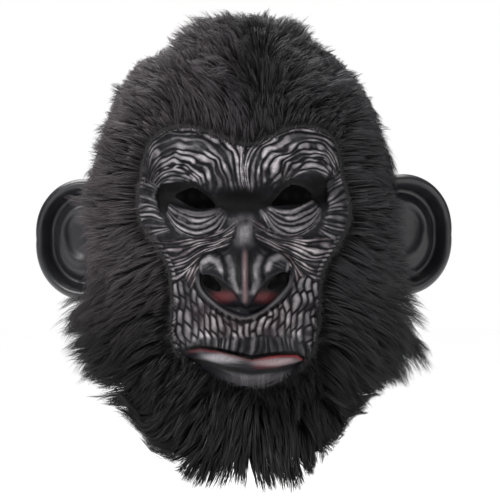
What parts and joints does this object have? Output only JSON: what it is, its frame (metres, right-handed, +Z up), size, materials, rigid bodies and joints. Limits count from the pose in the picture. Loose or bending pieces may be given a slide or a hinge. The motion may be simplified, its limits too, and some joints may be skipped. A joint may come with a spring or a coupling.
{
  "type": "gorilla mask",
  "caption": "Full-head costume gorilla mask: moulded rubber face and ears on a hollow fabric hood with deep dark fur.",
  "frame": {"origin": "the inner side of the crown, where the mask sits on the top of a head", "axes": "+Z up; the face looks along -Y; +X is to the right of someone who looks at the face"},
  "size_m": [0.3018, 0.2932, 0.3318],
  "materials": {
    "hood_fabric": "matt woven backing",
    "painted_latex": "satin, dry-brushed paint",
    "black_latex": "satin",
    "faux_fur": "long soft pile"
  },
  "bodies": {
    "root": {"hood": "hood_fabric", "face_shell": "painted_latex", "ear_left": "black_latex", "ear_right": "black_latex", "fur": "faux_fur"}
  },
  "joints": []
}
